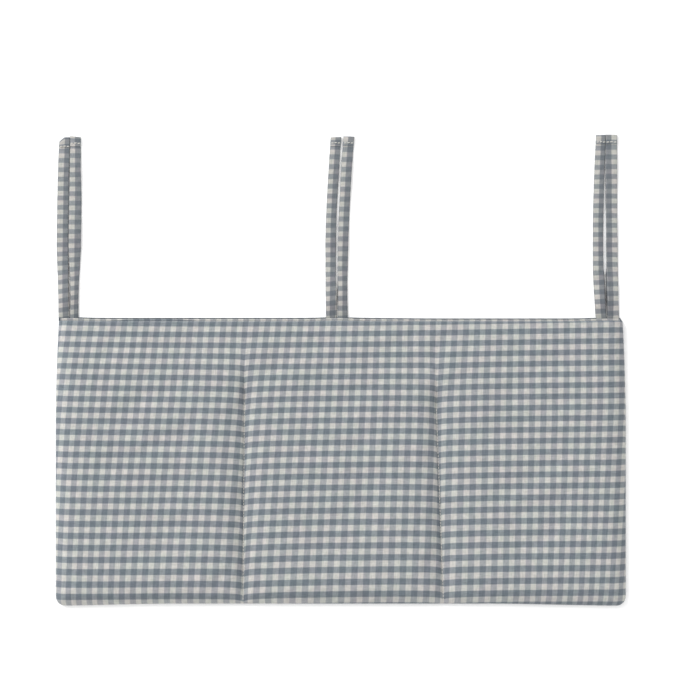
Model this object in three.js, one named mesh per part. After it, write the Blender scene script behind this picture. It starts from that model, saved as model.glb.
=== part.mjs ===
// Crib organizer: a padded cloth panel with three open pockets and three pairs of cloth ties.
// Millimetres. The panel lies on its back: X runs across it, Y up to its mouth, Z out of its front.
// The origin is the middle of the back face, on the plane that the panel lies on.

import * as THREE from 'three';

// Panel outline
const panelWidth = 600;
const panelHeight = 302;
const mouthNarrowing = 3.5;
const narrowingLength = 120;
const cornerRadius = 10;
const mouthSetback = 2.8;

// Cloth, padding and thread
const outerCloth = 0.6;
const lining = 0.5;
const backPadding = 2.2;
const frontPadding = 2.4;
const quiltedPadding = 0.5;
const seamThread = 0.4;
const layerGap = 0.3;

// Pockets and how they swell between their seams
const pocketDepth = 7;
const mouthDepth = 6.2;
const pocketSwell = 9;
const paddingSwell = 5;
const seamAllowance = 8;
const edgeRise = 9;
const edgeLift = 1.2;
const mouthBlend = 45;

// Divider seams: their distance from the middle at the top and at the foot
const leftDividerTop = 101.2;
const leftDividerFoot = 102.8;
const rightDividerTop = 100.6;
const rightDividerFoot = 108;
const leftDividerStart = 88;
const rightDividerLag = 7;
const dividerFold = 5;
const dividerRise = 9;
const dividerGroove = 1;
const dividerOpening = 40;
const openShare = 0.92;

// Stitching
const stitchWidth = 0.7;
const stitchHeight = 0.4;
const stitchClearance = 0.45;
const mouthSeamInset = 2.4;
const edgeSeamInset = 1.6;

// Ties: a tape caught at its middle in the back's top seam, with two free tails
const tieLength = 191;
const tieWidth = 12;
const tieRootWidth = 11;
const tieFlare = 60;
const tieThickness = 1.3;
const tieSpacing = 0.5;
const hemLength = 10;
const hemThickness = 0.7;
const hemSlope = 0.8;
const hemStitchInset = 8.4;
const hemStitchMargin = 0.8;
const rootTabLength = 14;
const rootTabThickness = 1.2;
const rootTabNarrowing = 2.5;
const leftTieInset = 0;
const rightTieInset = 4.4;
const centreTieOffset = -3.4;

// Where each tail starts, leans at its tip and bows at its middle, as shares of its length
const tailShares = {
  left: {
    left: { start: 0, lean: -0.003, bow: -0.008 },
    right: { start: 0, lean: 0.001, bow: -0.001 },
  },
  centre: {
    left: { start: 0, lean: 0.019, bow: -0.011 },
    right: { start: 0, lean: 0.031, bow: -0.003 },
  },
  right: {
    left: { start: -0.007, lean: -0.001, bow: -0.014 },
    right: { start: 0.007, lean: -0.011, bow: -0.007 },
  },
};

// Colours
const gingham = 0xa4aaae;
const paddingColour = 0xf2f1ec;
const threadColour = 0xd9d7cf;

// How finely the panel is divided
const pocketColumns = 3;
const pocketRows = 5;
const mouthRows = 3;
const tailSteps = 9;
const cornerRowShare = 0.36;
const rootFacetDegrees = [15, 45, 90];

const mouthY = panelHeight / 2;
const footY = -panelHeight / 2;
const leftStartY = mouthY - leftDividerStart;
const rightStartY = leftStartY - rightDividerLag;
const tieBandLength = rootTabLength + layerGap;

const { clamp, lerp, smoothstep } = THREE.MathUtils;

// Half of the panel's width at a height: it narrows a little towards the mouth
function halfWidth(y) {
  const share = clamp((y - mouthY + narrowingLength) / narrowingLength, 0, 1);
  return panelWidth / 2 - mouthNarrowing * share * share;
}

// How much a rounded bottom corner takes off the half width at a height
function cornerCut(y) {
  const rise = Math.max(0, footY + cornerRadius - y);
  return cornerRadius - Math.sqrt(cornerRadius * cornerRadius - rise * rise);
}

function leftDividerX(y) {
  return lerp(-leftDividerFoot, -leftDividerTop, clamp((y - footY) / (leftStartY - footY), 0, 1));
}

function rightDividerX(y) {
  return lerp(rightDividerFoot, rightDividerTop, clamp((y - footY) / (rightStartY - footY), 0, 1));
}

// From 0 at a seam to 1 well inside
function swell(distance, length) {
  return 1 - Math.exp(-Math.max(0, distance) / length);
}

// How far a divider has opened above the start of its seam, 0 where it is sewn
function openness(y, startY) {
  return openShare * smoothstep(y, startY, startY + dividerOpening);
}

function dividerSwell(x, y, length) {
  const left = swell(Math.abs(x - leftDividerX(y)), length);
  const right = swell(Math.abs(x - rightDividerX(y)), length);
  return lerp(left, 1, openness(y, leftStartY)) * lerp(right, 1, openness(y, rightStartY));
}

function edgeDistance(x, y) {
  return Math.max(0, halfWidth(y) - Math.abs(x));
}

// 0 on the sewn edge and 1 where the padding begins
function allowanceShare(x, y) {
  const nearest = Math.min(edgeDistance(x, y), y - footY);
  return clamp(nearest / seamAllowance, 0, 1);
}

// 0 well below the mouth and 1 in the band that holds the tie roots
function mouthShare(y) {
  return smoothstep(y, mouthY - tieBandLength - mouthBlend, mouthY - tieBandLength);
}

function padding(full, x, y) {
  const edges = swell(edgeDistance(x, y), paddingSwell) * swell(y - footY, paddingSwell);
  return lerp(quiltedPadding, full, edges * dividerSwell(x, y, paddingSwell));
}

// Space between the back's two cloths: padding, or the tie roots and a thread near the mouth
function backFilling(x, y) {
  const sewn = layerGap + allowanceShare(x, y) * (padding(backPadding, x, y) + layerGap);
  const mouthFilling = rootTabThickness + seamThread + 3 * layerGap;
  return lerp(sewn, mouthFilling, mouthShare(y));
}

// Space between the front's two cloths: padding, or a thread at the mouth
function frontFilling(x, y) {
  const sewn = layerGap + allowanceShare(x, y) * (padding(frontPadding, x, y) + layerGap);
  const mouthFilling = seamThread + 2 * layerGap;
  return lerp(mouthFilling, sewn, clamp((mouthY - y) / seamAllowance, 0, 1));
}

// Space between the two linings: a pocket, closed at its seams down to the thread in them
function cavity(x, y) {
  const closed = seamThread + 2 * layerGap;
  const depth = lerp(pocketDepth, mouthDepth, smoothstep(y, rightStartY, mouthY));
  const edges = swell(edgeDistance(x, y), pocketSwell) * swell(y - footY, pocketSwell);
  return lerp(closed, depth, edges * dividerSwell(x, y, pocketSwell));
}

// How far the back face stands off the plane: at the sewn edges and along the dividers
function backLift(x, y) {
  const edge = edgeLift * (1 - allowanceShare(x, y)) * (1 - mouthShare(y));
  const left = Math.max(0, 1 - Math.abs(x - leftDividerX(y)) / dividerFold);
  const right = Math.max(0, 1 - Math.abs(x - rightDividerX(y)) / dividerFold);
  const leftSewn = y > leftStartY ? 0 : left;
  const rightSewn = y > rightStartY ? 0 : right;
  return Math.max(edge, dividerGroove * Math.max(leftSewn, rightSewn));
}

// The height of every face in the stack of cloths at one place, from the back face up
function layerHeights(x, y) {
  const backOuter = backLift(x, y);
  const backInner = backOuter + outerCloth;
  const backLiningLow = backInner + backFilling(x, y);
  const backLiningHigh = backLiningLow + lining;
  const frontLiningLow = backLiningHigh + cavity(x, y);
  const frontLiningHigh = frontLiningLow + lining;
  const frontInner = frontLiningHigh + frontFilling(x, y);
  return {
    backOuter,
    backInner,
    backPaddingLow: backInner + layerGap,
    backPaddingHigh: backLiningLow - layerGap,
    backLiningLow,
    backLiningHigh,
    frontLiningLow,
    frontLiningHigh,
    frontPaddingLow: frontLiningHigh + layerGap,
    frontPaddingHigh: frontInner - layerGap,
    frontInner,
    frontOuter: frontInner + outerCloth,
  };
}

// Columns of the panel's grid, each a line that runs from its foot to its mouth
function pocketLines(leftLine, rightLine, leftOffsets, rightOffsets) {
  const lines = leftOffsets.map((offset) => (y) => leftLine(y) + offset);
  for (let step = 1; step <= pocketColumns; step += 1) {
    const share = step / (pocketColumns + 1);
    const from = (y) => leftLine(y) + leftOffsets.at(-1);
    const to = (y) => rightLine(y) - rightOffsets.at(-1);
    lines.push((y) => lerp(from(y), to(y), share));
  }
  for (const offset of rightOffsets.slice(1).reverse()) {
    lines.push((y) => rightLine(y) - offset);
  }
  return lines;
}

const edgeOffsets = [0, seamAllowance, seamAllowance + edgeRise];
const dividerOffsets = [0, dividerFold, dividerFold + dividerRise];
const columns = [
  ...pocketLines((y) => -halfWidth(y), leftDividerX, edgeOffsets, dividerOffsets),
  ...pocketLines(leftDividerX, rightDividerX, dividerOffsets, dividerOffsets),
  ...pocketLines(rightDividerX, halfWidth, dividerOffsets, edgeOffsets),
  halfWidth,
];

function between(from, to, count) {
  return Array.from({ length: count }, (_, step) => lerp(from, to, (step + 1) / (count + 1)));
}

const risenY = footY + seamAllowance + edgeRise;
const backPaddingTopY = mouthY - tieBandLength;
const frontPaddingTopY = mouthY - seamAllowance;
const rows = [
  footY,
  footY + cornerRowShare * seamAllowance,
  footY + seamAllowance,
  risenY,
  ...between(risenY, rightStartY, pocketRows),
  rightStartY,
  leftStartY,
  ...between(leftStartY, backPaddingTopY, mouthRows),
  backPaddingTopY,
  frontPaddingTopY,
  mouthY,
];
const paddingFirstRow = rows.indexOf(footY + seamAllowance);
const lastColumn = columns.length - 1;
const lastRow = rows.length - 1;

// A grid point: the outer columns bend in round the bottom corners
function gridPoint(column, row) {
  const y = rows[row];
  const x = columns[column](y);
  const reach = 1 - clamp(edgeDistance(x, y) / (seamAllowance + edgeRise), 0, 1);
  return { x: x - Math.sign(x) * cornerCut(y) * reach, y };
}

function materialOf(colour) {
  return new THREE.MeshStandardMaterial({ color: colour, roughness: 0.9, metalness: 0 });
}

function meshOf(name, positions, triangles, colour) {
  const geometry = new THREE.BufferGeometry();
  geometry.setAttribute('position', new THREE.Float32BufferAttribute(positions, 3));
  geometry.setIndex(triangles);
  geometry.computeVertexNormals();
  const mesh = new THREE.Mesh(geometry, materialOf(colour));
  mesh.name = name;
  return mesh;
}

// One layer of the panel: the closed body between two named heights over part of the grid
function layerBody(name, low, high, colour, span = {}) {
  const { side = 0, first = 0, last = lastRow, setback = 0 } = span;
  const across = lastColumn - 2 * side + 1;
  const up = last - first + 1;
  const positions = [];
  for (const face of [low, high]) {
    for (let row = first; row <= last; row += 1) {
      for (let column = side; column <= lastColumn - side; column += 1) {
        const { x, y } = gridPoint(column, row);
        const drop = row === lastRow ? setback : 0;
        positions.push(x, y - drop, layerHeights(x, y)[face]);
      }
    }
  }
  const triangles = [];
  const upper = across * up;
  const addQuad = (a, b, c, d) => triangles.push(a, b, c, a, c, d);
  for (let row = 0; row < up - 1; row += 1) {
    for (let column = 0; column < across - 1; column += 1) {
      const a = row * across + column;
      const b = a + 1;
      const c = b + across;
      const d = a + across;
      if (column < (across - 1) / 2) {
        addQuad(upper + a, upper + b, upper + c, upper + d);
        addQuad(c, b, a, d);
      } else {
        addQuad(upper + b, upper + c, upper + d, upper + a);
        addQuad(b, a, d, c);
      }
    }
  }
  const rim = [];
  for (let column = 0; column < across - 1; column += 1) {
    rim.push(column);
  }
  for (let row = 0; row < up - 1; row += 1) {
    rim.push(row * across + across - 1);
  }
  for (let column = across - 1; column > 0; column -= 1) {
    rim.push((up - 1) * across + column);
  }
  for (let row = up - 1; row > 0; row -= 1) {
    rim.push(row * across);
  }
  rim.forEach((point, index) => {
    const next = rim[(index + 1) % rim.length];
    addQuad(point, next, upper + next, upper + point);
  });
  return meshOf(name, positions, triangles, colour);
}

// A closed strip through four-cornered sections, each given anticlockwise as seen from ahead
function stripBody(name, sections, colour) {
  const positions = sections.flat(2);
  const corners = 4;
  const triangles = [0, 2, 1, 0, 3, 2];
  for (let section = 0; section < sections.length - 1; section += 1) {
    for (let corner = 0; corner < corners; corner += 1) {
      const a = section * corners + corner;
      const b = section * corners + ((corner + 1) % corners);
      triangles.push(a, b, b + corners, a, b + corners, a + corners);
    }
  }
  const end = (sections.length - 1) * corners;
  triangles.push(end, end + 1, end + 2, end, end + 2, end + 3);
  return meshOf(name, positions, triangles, colour);
}

// A section of a strip that runs up the panel
function uprightSection(centreX, width, y, low, high) {
  const left = centreX - width / 2;
  const right = centreX + width / 2;
  return [[right, y, low], [left, y, low], [left, y, high], [right, y, high]];
}

// A thread of a divider, which runs down its seam from a start to the foot at a height over a face
function dividerThread(name, dividerX, startY, face, offset) {
  const sewnRows = rows.filter((y) => y > footY && y <= startY);
  const sections = sewnRows.map((y) => {
    const low = layerHeights(dividerX(y), y)[face] + offset;
    return uprightSection(dividerX(y), stitchWidth, y, low, low + stitchHeight);
  });
  return stripBody(name, sections, threadColour);
}

// The thread in a divider's valley on the front, laid by the needle
function needleThread(name, dividerX, startY) {
  return dividerThread(name, dividerX, startY, 'frontOuter', stitchClearance);
}

// The thread in a divider's groove on the back, laid by the bobbin
function bobbinThread(name, dividerX, startY) {
  return dividerThread(name, dividerX, startY, 'backOuter', -layerGap - stitchHeight);
}

// The thread round both sides and the foot, between the linings, a little inside the edge
function edgeSeamThread(name) {
  const path = [];
  for (let row = lastRow; row > 0; row -= 1) {
    path.push([0, row]);
  }
  for (let column = 0; column < lastColumn; column += 1) {
    path.push([column, 0]);
  }
  for (let row = 0; row <= lastRow; row += 1) {
    path.push([lastColumn, row]);
  }
  const sections = path.map(([column, row]) => {
    const edge = gridPoint(column, row);
    const innerColumn = clamp(column, 1, lastColumn - 1);
    const inner = gridPoint(innerColumn, Math.max(row, paddingFirstRow));
    const edgeLow = layerHeights(edge.x, edge.y).backLiningHigh + layerGap;
    const innerLow = layerHeights(inner.x, inner.y).backLiningHigh + layerGap;
    const setback = row === lastRow ? mouthSetback : 0;
    const at = (share) => [
      lerp(edge.x, inner.x, share),
      lerp(edge.y, inner.y, share) - setback,
      lerp(edgeLow, innerLow, share),
    ];
    const near = at(edgeSeamInset / seamAllowance);
    const far = at((edgeSeamInset + stitchWidth) / seamAllowance);
    const raised = ([x, y, z]) => [x, y, z + seamThread];
    return [near, far, raised(far), raised(near)];
  });
  return stripBody(name, sections, threadColour);
}

// A thread along the mouth, inside the fold of the front's or the back's edge
function mouthSeamThread(name, low, clearance, setback) {
  const y = mouthY - setback;
  const sections = [];
  for (let column = 1; column < lastColumn; column += 1) {
    const x = columns[column](y);
    const nearY = y - mouthSeamInset;
    const farY = nearY - stitchWidth;
    const near = layerHeights(x, nearY)[low] + clearance;
    const far = layerHeights(x, farY)[low] + clearance;
    sections.push([
      [x, farY, far],
      [x, nearY, near],
      [x, nearY, near + seamThread],
      [x, farY, far + seamThread],
    ]);
  }
  return stripBody(name, sections, threadColour);
}

const pairRootWidth = 2 * tieRootWidth + tieSpacing;
const tieCentres = {
  left: -halfWidth(mouthY) + leftTieInset + pairRootWidth / 2,
  centre: centreTieOffset,
  right: halfWidth(mouthY) - rightTieInset - pairRootWidth / 2,
};

// The folded middle of a tie, caught between the back's two cloths
function tieRootTab(name, centreX) {
  const width = pairRootWidth - 2 * rootTabNarrowing;
  const low = outerCloth + layerGap;
  const high = low + rootTabThickness;
  const ends = [mouthY - rootTabLength, mouthY];
  const sections = ends.map((y) => uprightSection(centreX, width, y, low, high));
  return stripBody(name, sections, gingham);
}

const tailRadius = tieThickness / 2;
const tailRootY = mouthY + layerGap;
const hingeY = tailRootY + tailRadius;
const tipY = tailRootY + tieLength;

function tailX(rootX, shares, y) {
  const share = clamp((y - tailRootY) / tieLength, 0, 1);
  const aside = shares.lean * share * share + shares.bow * Math.sin(Math.PI * share);
  return rootX + tieLength * aside;
}

function tailWidth(y) {
  return lerp(tieRootWidth, tieWidth, smoothstep(y, tailRootY, tailRootY + tieFlare));
}

// A free tail of a tie: round at its root, where it turns, and doubled over at its tip
function tieTail(name, rootX, shares) {
  const sectionAt = (y, low, high) => (
    uprightSection(tailX(rootX, shares, y), tailWidth(y), y, low, high)
  );
  const sections = rootFacetDegrees.map((degrees) => {
    const angle = THREE.MathUtils.degToRad(degrees);
    const rise = tailRadius * Math.sin(angle);
    return sectionAt(hingeY - tailRadius * Math.cos(angle), tailRadius - rise, tailRadius + rise);
  });
  const hemY = tipY - hemLength;
  for (const y of between(hingeY, hemY, tailSteps)) {
    sections.push(sectionAt(y, 0, tieThickness));
  }
  sections.push(sectionAt(hemY, 0, tieThickness));
  sections.push(sectionAt(hemY + hemSlope, 0, tieThickness + hemThickness));
  sections.push(sectionAt(tipY, 0, tieThickness + hemThickness));
  return stripBody(name, sections, gingham);
}

// The row of stitches across a tail's hem
function hemThread(name, rootX, shares) {
  const y = tipY - hemStitchInset;
  const width = tieWidth - 2 * hemStitchMargin;
  const low = tieThickness + hemThickness + layerGap;
  const sections = [y, y + stitchWidth].map((place) => (
    uprightSection(tailX(rootX, shares, place), width, place, low, low + stitchHeight)
  ));
  return stripBody(name, sections, threadColour);
}

const organizer = new THREE.Group();

organizer.add(
  layerBody('back_outer_cloth', 'backOuter', 'backInner', gingham),
  layerBody('back_padding', 'backPaddingLow', 'backPaddingHigh', paddingColour, {
    side: 1,
    first: paddingFirstRow,
    last: rows.indexOf(backPaddingTopY),
  }),
  layerBody('back_lining', 'backLiningLow', 'backLiningHigh', gingham),
  layerBody('front_lining', 'frontLiningLow', 'frontLiningHigh', gingham, { setback: mouthSetback }),
  layerBody('front_padding', 'frontPaddingLow', 'frontPaddingHigh', paddingColour, {
    side: 1,
    first: paddingFirstRow,
    last: rows.indexOf(frontPaddingTopY),
  }),
  layerBody('front_outer_cloth', 'frontInner', 'frontOuter', gingham, { setback: mouthSetback }),
);

organizer.add(
  edgeSeamThread('edge_seam_thread'),
  mouthSeamThread('back_mouth_seam_thread', 'backInner', rootTabThickness + 2 * layerGap, 0),
  mouthSeamThread('front_mouth_seam_thread', 'frontLiningHigh', layerGap, mouthSetback),
  needleThread('left_divider_needle_thread', leftDividerX, leftStartY),
  needleThread('right_divider_needle_thread', rightDividerX, rightStartY),
  bobbinThread('left_divider_bobbin_thread', leftDividerX, leftStartY),
  bobbinThread('right_divider_bobbin_thread', rightDividerX, rightStartY),
);

for (const [tie, tails] of Object.entries(tailShares)) {
  organizer.add(tieRootTab(`${tie}_tie_root`, tieCentres[tie]));
  for (const [tail, shares] of Object.entries(tails)) {
    const side = tail === 'left' ? -1 : 1;
    const aside = side * (tieRootWidth + tieSpacing) / 2 + tieLength * shares.start;
    const rootX = tieCentres[tie] + aside;
    organizer.add(
      tieTail(`${tie}_tie_${tail}_tail`, rootX, shares),
      hemThread(`${tie}_tie_${tail}_hem_thread`, rootX, shares),
    );
  }
}

export default organizer;
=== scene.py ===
"""Crib organizer: a padded gingham panel with three pockets and three pairs of cloth ties.

It lies on its back: X runs across the panel, Y up to its mouth and ties, Z out of its front.
Lengths here are millimetres, and METRES turns them into the scene's own unit.
"""
import math

import bpy
import numpy as np
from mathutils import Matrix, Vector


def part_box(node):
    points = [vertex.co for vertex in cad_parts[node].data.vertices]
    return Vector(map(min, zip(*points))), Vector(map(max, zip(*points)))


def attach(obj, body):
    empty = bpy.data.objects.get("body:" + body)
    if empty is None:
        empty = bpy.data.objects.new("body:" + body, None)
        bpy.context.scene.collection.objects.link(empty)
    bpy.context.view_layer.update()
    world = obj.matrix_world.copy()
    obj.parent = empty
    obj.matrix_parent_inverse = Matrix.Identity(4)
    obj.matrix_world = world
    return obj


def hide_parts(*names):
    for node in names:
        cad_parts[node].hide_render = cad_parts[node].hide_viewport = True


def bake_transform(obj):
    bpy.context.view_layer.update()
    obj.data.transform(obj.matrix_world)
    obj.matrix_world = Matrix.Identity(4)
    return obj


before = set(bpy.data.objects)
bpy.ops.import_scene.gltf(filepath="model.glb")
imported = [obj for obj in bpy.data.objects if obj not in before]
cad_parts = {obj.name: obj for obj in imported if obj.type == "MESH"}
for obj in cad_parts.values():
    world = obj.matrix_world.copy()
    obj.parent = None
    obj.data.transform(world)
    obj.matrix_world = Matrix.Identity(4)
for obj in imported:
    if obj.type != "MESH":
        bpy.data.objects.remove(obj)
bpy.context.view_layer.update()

METRES = 0.001


# Sizes that the frame gives

def frame_box(node):
    low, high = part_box(node)
    return np.array(low) / METRES, np.array(high) / METRES


back_low, back_high = frame_box("back_outer_cloth")
half_panel, mouth_y = back_high[:2]
foot_y = back_low[1]
front_mouth_y = frame_box("front_outer_cloth")[1][1]
tie_centres = {tie: float(np.mean([corner[0] for corner in frame_box(f"{tie}_tie_root")]))
               for tie in ("left", "centre", "right")}

# The panel's outline and layers, as in the solids
mouth_narrowing = 3.5
narrowing_length = 120
corner_radius = 10
outer_cloth = 0.6
lining = 0.5
back_padding = 2.2
front_padding = 2.4
quilted_padding = 0.5
seam_thread = 0.4
layer_gap = 0.3
root_tab_thickness = 1.2
root_tab_length = 14
pocket_depth = 7
mouth_depth = 6.2
pocket_swell = 9
padding_swell = 5
seam_allowance = 8
edge_lift = 1.2
mouth_blend = 45
left_divider_top, left_divider_foot = -101.2, -102.8
right_divider_top, right_divider_foot = 100.6, 108
left_start_y = mouth_y - 88
right_start_y = left_start_y - 7
divider_groove = 1
divider_fold = 5
divider_opening = 40
open_share = 0.92

# Folded edges. A pair of values says from where to where along X something changes
rim_height = 3
back_rim_height = 2.9
rim_radius = 2.6
fold_radius = 1.4
lining_inset = 1.4
groove_fade = 6
rim_checks = 0.35
mouth_taper = 3.5
left_mouth_rise = 0.85
right_mouth_rise = 0.35
mouth_rise_change = (20, 110)
back_mouth_blend = 30
front_mouth_blend = 40
foot_bow = 2.2
foot_bow_start = (-310, -170)
foot_bow_end = (150, 300)
foot_bow_fade = 45
right_corner_tuck = 2
tuck_change = (276, 298)
tuck_length = 6
lining_setback = 1.1
tie_bulge = 0.9
tie_bulge_reach = 22
tie_opening_fade = 5
front_edge_gap = 0.1

# The back's folded edges at the mouth, away from the ties and at them
back_edge_heights = (1.7, 0.7)
lining_edge_heights = (1.9, 2.9)

# Ties
tie_root_y = mouth_y + layer_gap
tie_width = 12
tie_root_width = 11
tie_thickness = 1.3
tie_spacing = 0.5
tie_length = 191
hem_length = 10
hem_thickness = 0.7


# The panel's shape

def smooth(value, start, end):
    share = np.clip((value - start) / (end - start), 0, 1)
    return share * share * (3 - 2 * share)


def lerp(start, end, share):
    return start + (end - start) * share


def swell(distance, length):
    return 1 - np.exp(-np.maximum(0, distance) / length)


def bell(distance, reach):
    return np.exp(-(distance / reach) ** 2)


def roundness(distance, radius):
    """0 at a folded edge and 1 where the cloth is flat, along a quarter circle."""
    share = np.clip(distance / radius, 0, 1)
    return np.sqrt(1 - (1 - share) ** 2)


def half_width(y):
    share = np.clip((y - mouth_y + narrowing_length) / narrowing_length, 0, 1)
    return half_panel - mouth_narrowing * share * share


def left_divider_x(y):
    share = np.clip((y - foot_y) / (left_start_y - foot_y), 0, 1)
    return lerp(left_divider_foot, left_divider_top, share)


def right_divider_x(y):
    share = np.clip((y - foot_y) / (right_start_y - foot_y), 0, 1)
    return lerp(right_divider_foot, right_divider_top, share)


dividers = ((left_divider_x, left_start_y), (right_divider_x, right_start_y))


def openness(y, start_y):
    return open_share * smooth(y, start_y, start_y + divider_opening)


def divider_swell(x, y, length):
    left, right = (lerp(swell(np.abs(x - divider(y)), length), 1, openness(y, start_y))
                   for divider, start_y in dividers)
    return left * right


def foot_rise(x):
    """How far the foot's edge bows up between its corners."""
    return foot_bow * smooth(x, *foot_bow_start) * (1 - smooth(x, *foot_bow_end))


def foot_lift(x, y):
    """The foot's bow, which fades out above the foot."""
    return foot_rise(x) * (1 - smooth(y, foot_y, foot_y + foot_bow_fade))


def edge_distance(x, y):
    """Distance to the sides and the foot, round the bottom corners."""
    across = np.abs(x) - (half_width(y) - corner_radius)
    down = foot_y + foot_rise(x) + corner_radius - y
    corner = corner_radius - np.hypot(np.maximum(across, 0), np.maximum(down, 0))
    inside = corner_radius - np.maximum(across, down)
    return np.maximum(0, np.where((across > 0) & (down > 0), corner, inside))


def mouth_share(y):
    band_y = mouth_y - root_tab_length - layer_gap
    return smooth(y, band_y - mouth_blend, band_y)


def padding(full, x, y):
    return lerp(quilted_padding, full, swell(edge_distance(x, y), padding_swell)
                * divider_swell(x, y, padding_swell))


def layer_heights(x, y):
    """The height of every face in the stack of cloths, from the back face up."""
    y = np.minimum(y, mouth_y)
    allowance = np.clip(edge_distance(x, y) / seam_allowance, 0, 1)
    lift = edge_lift * (1 - allowance) * (1 - mouth_share(y))
    for divider, start_y in dividers:
        near = np.maximum(0, 1 - np.abs(x - divider(y)) / divider_fold)
        sewn = near * (1 - smooth(y, start_y, start_y + groove_fade))
        lift = np.maximum(lift, divider_groove * sewn)
    back_sewn = layer_gap + allowance * (padding(back_padding, x, y) + layer_gap)
    back_tabs = root_tab_thickness + seam_thread + 3 * layer_gap
    back_lining_low = lift + outer_cloth + lerp(back_sewn, back_tabs, mouth_share(y))
    depth = lerp(pocket_depth, mouth_depth, smooth(y, right_start_y, mouth_y))
    closed = seam_thread + 2 * layer_gap
    opened = swell(edge_distance(x, y), pocket_swell) * divider_swell(x, y, pocket_swell)
    front_lining_low = back_lining_low + lining + lerp(closed, depth, opened)
    front_sewn = layer_gap + allowance * (padding(front_padding, x, y) + layer_gap)
    fold_share = np.clip((mouth_y - y) / mouth_taper, 0, 1)
    front_inner = front_lining_low + lining + lerp(closed, front_sewn, fold_share)
    return {
        "back_outer": lift,
        "back_inner": lift + outer_cloth,
        "back_lining_low": back_lining_low,
        "back_lining_high": back_lining_low + lining,
        "front_lining_low": front_lining_low,
        "front_lining_high": front_lining_low + lining,
        "front_inner": front_inner,
        "front_outer": front_inner + outer_cloth,
    }


def tie_rise(x):
    """How much higher a mouth's edge stands over the ties."""
    return tie_bulge * sum(bell(x - centre, tie_bulge_reach) for centre in tie_centres.values())


def back_mouth(x):
    rise = lerp(left_mouth_rise, right_mouth_rise, smooth(x, *mouth_rise_change))
    return mouth_y + rise + tie_rise(x)


def back_lining_mouth(x):
    return back_mouth(x) - lining_setback


def front_mouth(x):
    return front_mouth_y + tie_rise(x)


def tie_opening(x):
    """1 where a tie comes out of the back's folded edge, 0 elsewhere."""
    half_pair = tie_root_width + tie_spacing
    return sum(1 - smooth(np.abs(x - centre), half_pair, half_pair + tie_opening_fade)
               for centre in tie_centres.values())


# The grid that every layer of the panel follows: columns lean with the sides and dividers

edge_steps = (0, 0.12, 0.45, 1, 1.7, 2.6, 3.6, 5.5, 8, 11.5, 16)
divider_steps = (0, 0.5, 1.1, 1.9, 3, 4.4, 6.2, 8.6, 12, 16)
fold_steps = (0, 0.08, 0.28, 0.6, 1, 1.5, 2.4, 4, 6.5)


def row_places(top_y, spacing):
    foot_rows = [foot_y + step for step in edge_steps]
    count = math.ceil((top_y - fold_steps[-1] - foot_rows[-1]) / spacing)
    middle_rows = np.linspace(foot_rows[-1], top_y - fold_steps[-1], count + 1)[1:-1]
    return np.array([*foot_rows, *middle_rows, *(top_y - step for step in reversed(fold_steps))])


def span_columns(low_line, high_line, low_steps, high_steps, spacing):
    """Columns from one line to the next, each given as a place for every row."""
    low_last, high_last = low_line + low_steps[-1], high_line - high_steps[-1]
    count = math.ceil(float(np.max(high_last - low_last)) / spacing)
    columns = [low_line + step for step in low_steps]
    columns += [lerp(low_last, high_last, step / count) for step in range(1, count)]
    columns += [high_line - step for step in reversed(high_steps)]
    return columns


def panel_grid(top_y, spacing, inset=0):
    """X and Y of a grid over the panel, its bottom corners round."""
    y = row_places(top_y, spacing)
    rise = np.maximum(0, foot_y + corner_radius - y)
    side = half_width(y) - corner_radius + np.sqrt(corner_radius ** 2 - rise ** 2)
    left, right = left_divider_x(y), right_divider_x(y)
    columns = span_columns(-side, left, edge_steps, divider_steps, spacing)
    columns += span_columns(left, right, divider_steps, divider_steps, spacing)[1:]
    columns += span_columns(right, side, divider_steps, edge_steps, spacing)[1:]
    x = np.stack(columns, axis=1)
    y = np.repeat(y[:, None], x.shape[1], axis=1)
    y = y + foot_lift(x, y)
    tucked = smooth(x, *tuck_change) * smooth(y, mouth_y - tuck_length, mouth_y) ** 2
    x = x - right_corner_tuck * tucked
    if inset:
        x = x * (1 - inset / half_panel)
        y = top_y + (y - top_y) * (1 - inset / (top_y - foot_y))
    return x, y


def cloth_grid(mouth, top_y, blend, spacing, inset=0):
    """The panel's grid with its top edge moved to a mouth's own line."""
    x, y = panel_grid(top_y, spacing, inset)
    return x, y + (mouth(x) - top_y) * smooth(y, top_y - blend, top_y)


# How the gingham lies on each cloth, in checks across and down. The formulas take places as
# shares of half the panel's width, so their numbers are checks too

check_width = 11.6
check_height = 11.4
pocket_width = 200
seam_pull_reach = 4
column_pulls = (0.16, 0.24)
column_pull_reach = 60
row_dips = (0.17, 0.14)
row_dip_reach = 24
seam_dip = 0.14
blue_row_x = -196
blue_row_reach = 58


def sewn_share(y, start_y):
    """0 at the mouth and 1 where a divider is sewn."""
    return smooth(mouth_y - y, 0, mouth_y - start_y)


def beyond(away):
    """From 0 before a seam to 1 past it."""
    return (1 + np.tanh(away / seam_pull_reach)) / 2


def weave_columns(x, y):
    """Checks from the left, on the front: the cloth fans a little towards the foot."""
    across, down = x / half_panel, (mouth_y - y) / half_panel
    count = 23.41 + 26.04 * across + 1.69 * down - 0.18 * across ** 2 - 0.17 * across ** 3
    count += across * down * (2.12 * across ** 2 + 0.56 * across - 3.22 + down) - 0.32 * down ** 2
    for (divider, start_y), pulled in zip(dividers, column_pulls):
        away = x - divider(y)
        drawn = np.tanh(away / seam_pull_reach) * np.exp(-np.abs(away) / column_pull_reach)
        count += pulled * sewn_share(y, start_y) * drawn
    from_left, from_right = x - left_divider_x(y), x - right_divider_x(y)
    left_shift = -0.19 - 0.09 * down - 0.36 * from_left / pocket_width
    right_shift = 0.16 - 0.26 * down - 0.37 * from_right / pocket_width
    count += left_shift * sewn_share(y, left_start_y) * beyond(-from_left)
    count += right_shift * sewn_share(y, right_start_y) * beyond(from_right)
    return count


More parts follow.
